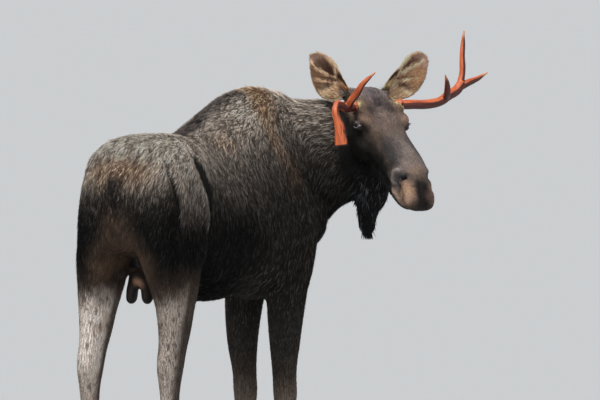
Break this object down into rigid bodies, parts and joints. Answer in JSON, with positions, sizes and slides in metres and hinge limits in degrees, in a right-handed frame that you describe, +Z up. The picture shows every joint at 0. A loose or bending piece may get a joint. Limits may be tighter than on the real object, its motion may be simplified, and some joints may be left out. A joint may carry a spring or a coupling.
{
  "type": "moose",
  "caption": "Life-size young bull moose, standing with its head turned back over its right side, with small antlers, hump, bell and cloven hooves.",
  "frame": {"origin": "middle of the base of the bounding box, level with the soles of the hooves", "axes": "+X forward along the trunk, +Y to the animal's left, +Z up"},
  "size_m": [1.9818, 1.014, 2.0291],
  "materials": {
    "body_coat": "coarse dark brown-black coat, grizzled grey-tan along the back",
    "face_coat": "short grey-brown coat, dark on the cheeks and nose",
    "leg_coat": "short pale grey coat",
    "ear_coat": "grey-brown coat with cream hair inside",
    "long_hair": "long black hair",
    "bare_skin": "thin dark skin with fine hair",
    "antler": "orange-red bone just out of velvet",
    "horn": "dark grey-brown horn",
    "eye": "wet, very dark brown"
  },
  "bodies": {
    "root": {"antler_left_beam": "antler", "antler_left_brow_tine": "antler", "antler_left_outer_tine": "antler", "antler_left_upper_tine": "antler", "antler_right_beam": "antler", "antler_right_brow_tine": "antler", "antler_right_drop_tine": "antler", "bell": "long_hair", "dewclaw_front_left_inner": "horn", "dewclaw_front_left_outer": "horn", "dewclaw_front_right_inner": "horn", "dewclaw_front_right_outer": "horn", "dewclaw_hind_left_inner": "horn", "dewclaw_hind_left_outer": "horn", "dewclaw_hind_right_inner": "horn", "dewclaw_hind_right_outer": "horn", "ear_left": "ear_coat", "ear_right": "ear_coat", "eye_left": "eye", "eye_right": "eye", "foreleg_left_lower": "leg_coat", "foreleg_left_upper": "body_coat", "foreleg_right_lower": "leg_coat", "foreleg_right_upper": "body_coat", "head": "face_coat", "hindleg_left_lower": "leg_coat", "hindleg_left_upper": "body_coat", "hindleg_right_lower": "leg_coat", "hindleg_right_upper": "body_coat", "hoof_front_left_inner": "horn", "hoof_front_left_outer": "horn", "hoof_front_right_inner": "horn", "hoof_front_right_outer": "horn", "hoof_hind_left_inner": "horn", "hoof_hind_left_outer": "horn", "hoof_hind_right_inner": "horn", "hoof_hind_right_outer": "horn", "neck": "body_coat", "scrotum": "bare_skin", "tail": "long_hair", "trunk": "body_coat"}
  },
  "joints": []
}
